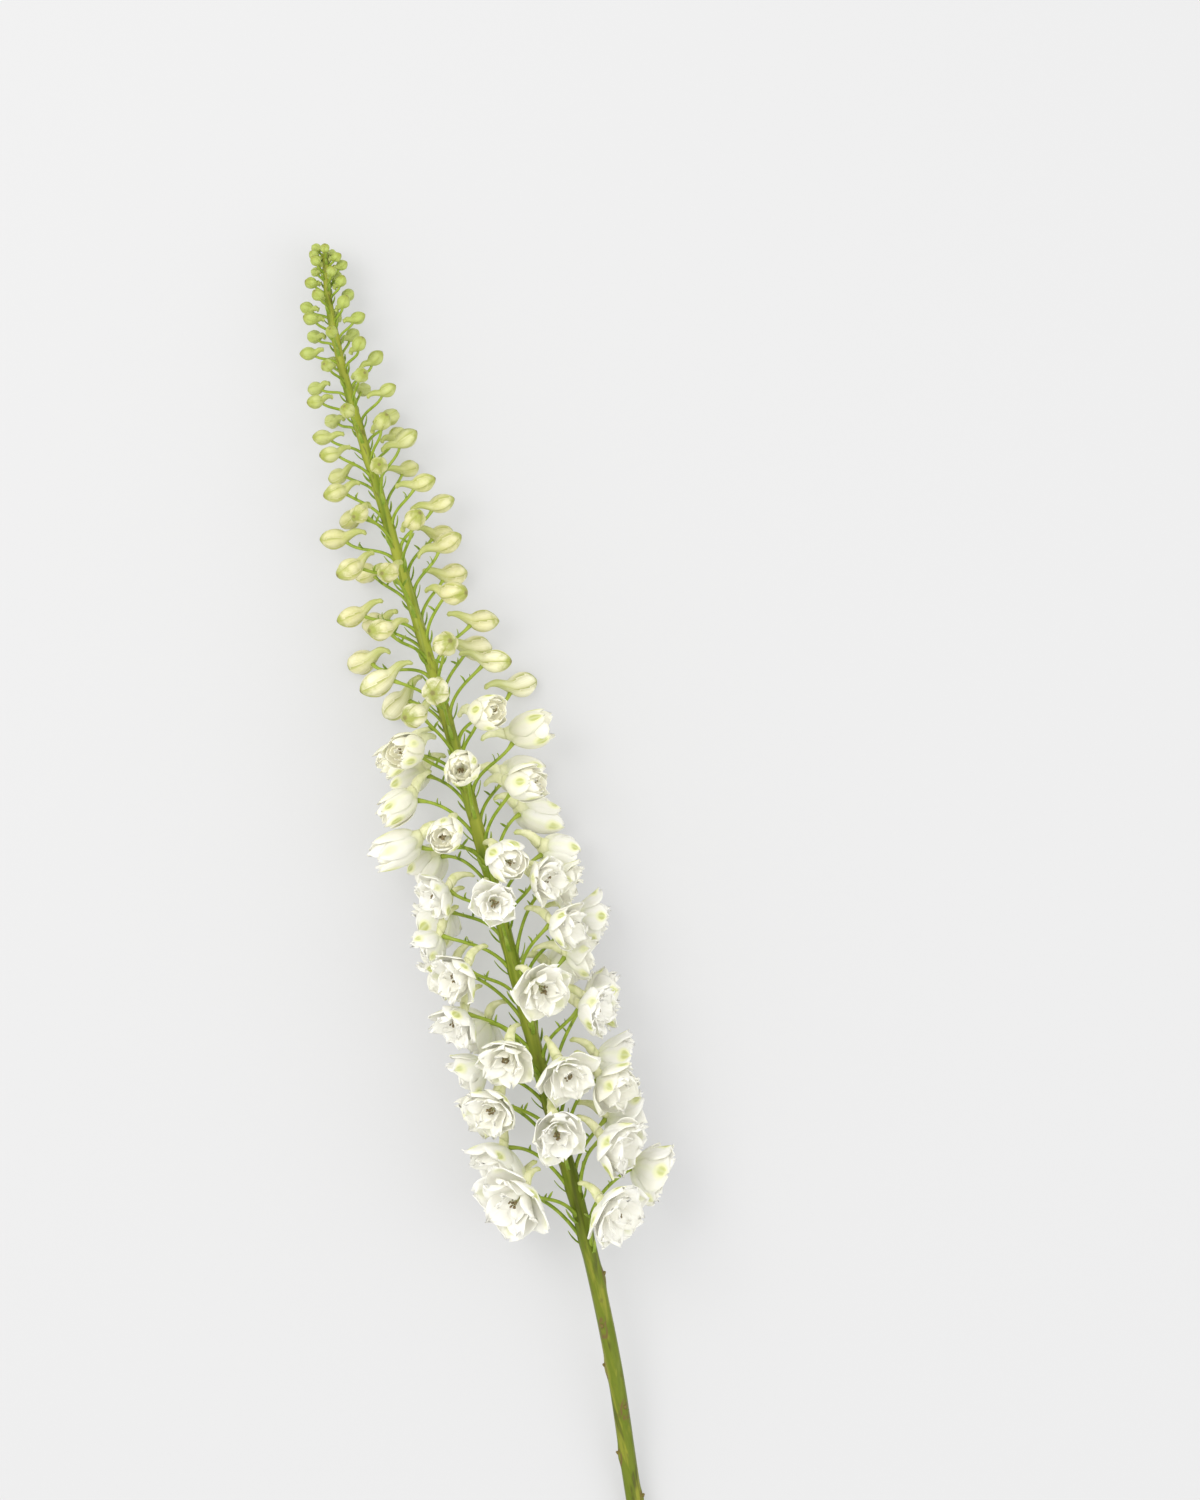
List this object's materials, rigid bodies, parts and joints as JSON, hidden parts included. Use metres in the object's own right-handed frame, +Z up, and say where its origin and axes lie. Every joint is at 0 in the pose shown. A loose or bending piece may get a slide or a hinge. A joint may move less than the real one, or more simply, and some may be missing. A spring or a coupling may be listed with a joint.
{
  "type": "delphinium flower spike",
  "caption": "Cut delphinium flower spike lying on its side: green stem with thin pedicels, white ruffled florets low down, half-open cups above, cream-green buds to the tip.",
  "frame": {"origin": "on the surface that the spike lies on, under the middle of its box", "axes": "+Y along the spike from its cut end towards its tip, +Z up from the surface"},
  "size_m": [0.1003, 0.6281, 0.0769],
  "materials": {
    "stem_green": "satin fresh green stem",
    "petal_white": "soft matte petal",
    "bud_cream": "soft satin bud"
  },
  "bodies": {
    "root": {"floret_00": "petal_white", "floret_01": "petal_white", "floret_02": "petal_white", "floret_03": "petal_white", "floret_05": "petal_white", "floret_06": "petal_white", "floret_07": "petal_white", "floret_08": "petal_white", "floret_09": "petal_white", "floret_10": "petal_white", "floret_11": "petal_white", "floret_12": "petal_white", "floret_13": "petal_white", "floret_14": "petal_white", "floret_15": "petal_white", "floret_16": "petal_white", "floret_17": "petal_white", "floret_18": "petal_white", "floret_19": "petal_white", "floret_20": "petal_white", "floret_21": "petal_white", "floret_22": "petal_white", "floret_23": "petal_white", "floret_24": "petal_white", "floret_25": "petal_white", "floret_26": "petal_white", "floret_27": "petal_white", "floret_28": "petal_white", "floret_29": "petal_white", "floret_30": "petal_white", "floret_31": "petal_white", "floret_32": "petal_white", "floret_33": "petal_white", "floret_34": "petal_white", "floret_35": "petal_white", "floret_36": "petal_white", "floret_37": "petal_white", "floret_38": "petal_white", "floret_39": "petal_white", "floret_40": "petal_white", "floret_41": "petal_white", "floret_42": "petal_white", "floret_43": "petal_white", "floret_44": "petal_white", "floret_45": "petal_white", "floret_46": "petal_white", "floret_47": "petal_white", "floret_48": "bud_cream", "floret_49": "bud_cream", "floret_50": "bud_cream", "floret_51": "bud_cream", "floret_52": "bud_cream", "floret_53": "bud_cream", "floret_54": "bud_cream", "floret_55": "bud_cream", "floret_56": "bud_cream", "floret_57": "bud_cream", "floret_58": "bud_cream", "stem": "stem_green"}
  },
  "joints": []
}
